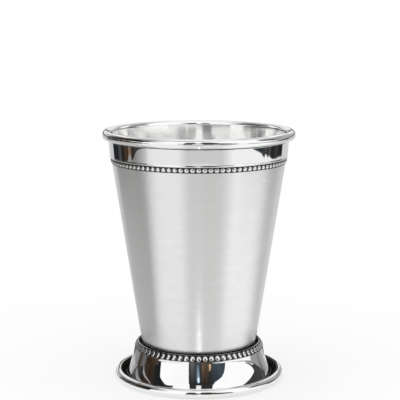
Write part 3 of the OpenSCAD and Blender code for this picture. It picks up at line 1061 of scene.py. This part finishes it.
# The dark place where the camera stands, with a few small lights in it
card("cameraPlace", onWall(0.79), [
    (-17, 0, 0.5, 0.05, 0.02), (-15.8, 0, 0.52, 0.06, 0.02), (-13, 0, 0.54, 0.14, 0.02),
    (-9, 0, 0.55, 0.12, 0.02), (-5.5, 0, 0.55, 0.08, 0.02, "cool"), (-3, 0, 0.55, 0.1, 0.03, "cool"),
    (3, 0, 0.55, 0.05, 0.02), (7, 0, 0.55, 0.16, 0.03, "warm"), (10, 0, 0.55, 0.1, 0.02, "warm"),
    (12, 0, 0.54, 0.14, 0.03, "warm"), (15, 0, 0.53, 0.06, 0.02), (20, 0, 0.53, 0.05, 0.02),
    (25, 0, 0.52, 0.1, 0.04, "cool"), (27.5, 0, 0.4525, 0.1, 0.05, "cool"),
    (33.4, 0, 0.388, 0.12, 0.06, "cool"), (39.4, 0, 0.315, 0.08, 0.1, "cool"),
    (42.9, 0, 0.224, 0.06, 0.1, "cool"), (44.6, 0, 0.136, 0.05, 0.08, "cool"),
    (46, 0, 0.01, 0.05, 0.05, "cool")])
card("tallLight", onWall(0.78), [
    (-4.5, 0.1, 0.4, 0.12, 0.12, "cool"), (-2.5, 0.05, 0.46, 0.16, 0.3, "cool"),
    (-1, 0.03, 0.48, 0.2, 0.7, "cool"), (0.5, 0.05, 0.48, 0.12, 0.8, "cool"),
    (2, 0.3, 0.44, 0.1, 0.1, "cool")])
card("smallLamp", onWall(0.775), [
    (-2.6, 0.36, 0.43, 0.2, 0.2, "cool"), (-1.2, 0.34, 0.46, 1.5, 1.5, "cool"),
    (0.4, 0.34, 0.47, 1.5, 1.5, "cool"), (1.6, 0.38, 0.44, 0.2, 0.2, "cool")])
card("warmLights", onWall(0.78), [
    (5, 0.06, 0.2, 0.06, 0.05, "warm"), (6.5, 0.05, 0.22, 0.24, 0.14, "warm"),
    (9, 0.08, 0.25, 0.1, 0.08, "warm"), (12, 0.1, 0.24, 0.1, 0.06, "warm"),
    (16.4, 0.05, 0.2, 0.12, 0.08, "warm"), (17.8, 0.03, 0.2, 1.0, 0.5, "warm"),
    (19.4, 0.03, 0.17, 0.9, 0.4, "warm"), (21, 0.05, 0.15, 0.08, 0.06, "warm")])
card("cameraAboveLeft", onWall(0.79), ring(0.5, 0.76, [(-16, 0.03), (-4.5, 0.03)]))
card("cameraAboveRight", onWall(0.79), [
    (4, 0.5, 0.88, 0.03, 0.03), (14, 0.5, 0.86, 0.03, 0.03), (24, 0.48, 0.6, 0.04, 0.04)])
card("highLamp", onWall(0.78), ring(0.88, 1.4, [(-6, 1.6), (3.6, 1.6)]))

# Close by, level with the mouth: what the brushed inside shows as upright bands. No room has anything in this
# place or in the nearer ones below; they are there for the photograph's angle
card("insideBands", onWall(0.12), ring(0.1172, 0.129, [
    (-180, 0.3), (-126, 0.16), (-112, 0.1), (-97, 0.07), (-85, 0.1), (-80, 0.36), (-78, 0.16), (-72, 0.42),
    (-70, 0.95), (-32, 1.05), (-21, 1.05), (-19, 0.26), (-6.5, 0.26), (-5, 1.2), (3.2, 1.2), (5, 0.26),
    (17.5, 0.26), (18.6, 1.2), (20, 0.28), (30, 0.36), (38, 0.9), (46, 1.05), (72, 1.02), (92, 0.9),
    (98, 0.7), (108, 0.3), (130, 0.18), (180, 0.3)]))

card("insideBandsAbove", onWall(0.12), ring(0.129, 0.134, [
    (-34, 1.0), (-21, 1.05), (-19, 0.26), (-6.5, 0.26), (-5, 1.2), (3.2, 1.2), (5, 0.26), (17.5, 0.26),
    (18.6, 1.2), (20, 0.28), (30, 0.36), (38, 0.9), (44, 1.0)]))

# Just above the mouth: the lower half of the inside sees this after the near wall has turned it back
card("insideSecondLow", onWall(0.046), ring(0.1205, 0.1283, [
    (-62, 0.2), (-8, 0.16), (2, 0.5), (8, 0.95), (40, 0.9), (60, 0.7)]))
card("insideSecondHigh", onWall(0.046), ring(0.1283, 0.142, [
    (-180, 1.1), (-168, 1.1), (-162, 0.4), (-122, 0.42), (-105, 0.95), (-95, 1.1), (-10, 1.1), (4, 0.8),
    (10, 0.5), (19, 0.5), (23, 1.1), (126, 1.1), (130, 0.34), (163, 0.34), (168, 1.1), (180, 1.1)]))

# Closer still, round the foot: what darkens the sides of its flare and the top of its roll
card("footLeft", onWall(0.044), [
    (-136, 0.005, 0.0093, 0.01, 0.02), (-120, 0.005, 0.0096, 0.01, 0.02),
    (-118.5, 0.005, 0.0122, 0.01, 0.03), (-115.5, 0.005, 0.0122, 0.01, 0.03),
    (-114, 0.0076, 0.01, 0.3, 0.3), (-94, 0.0078, 0.013, 0.3, 0.3), (-90, 0.0086, 0.013, 0.2, 0.22),
    (-87.5, 0.009, 0.013, 0.07, 0.1), (-84, 0.0094, 0.013, 0.05, 0.08, "warm"),
    (-77, 0.0102, 0.0132, 0.16, 0.16), (-72, 0.0111, 0.0132, 0.12, 0.12),
    (-69, 0.0115, 0.0134, 0.03, 0.03, "warm"), (-62, 0.0122, 0.0136, 0.04, 0.04, "warm"),
    (-55, 0.0125, 0.0136, 0.06, 0.06, "warm"), (-49, 0.0129, 0.0137, 0.06, 0.06)])
card("footRight", onWall(0.044), [
    (70, 0.0115, 0.0132, 0.4, 0.4), (73, 0.01135, 0.0132, 0.36, 0.36), (76, 0.0108, 0.0132, 0.33, 0.33),
    (82, 0.0095, 0.0128, 0.36, 0.36), (88, 0.0073, 0.0126, 0.1, 0.38), (94, 0.0055, 0.0124, 0.3, 0.4),
    (100, 0.0048, 0.012, 0.4, 0.4), (108, 0.0048, 0.012, 0.46, 0.46)])
card("rollRight", onWall(0.044), ring(0.0048, 0.013, [(117.5, 0.02), (136, 0.01)]))
card("gutterRight", onWall(0.044), ring(0.0012, 0.0046, [(99, 0.5), (118, 0.55)]))

bpy.context.scene.view_settings.view_transform = "Standard"
print("julep cup: studio set")
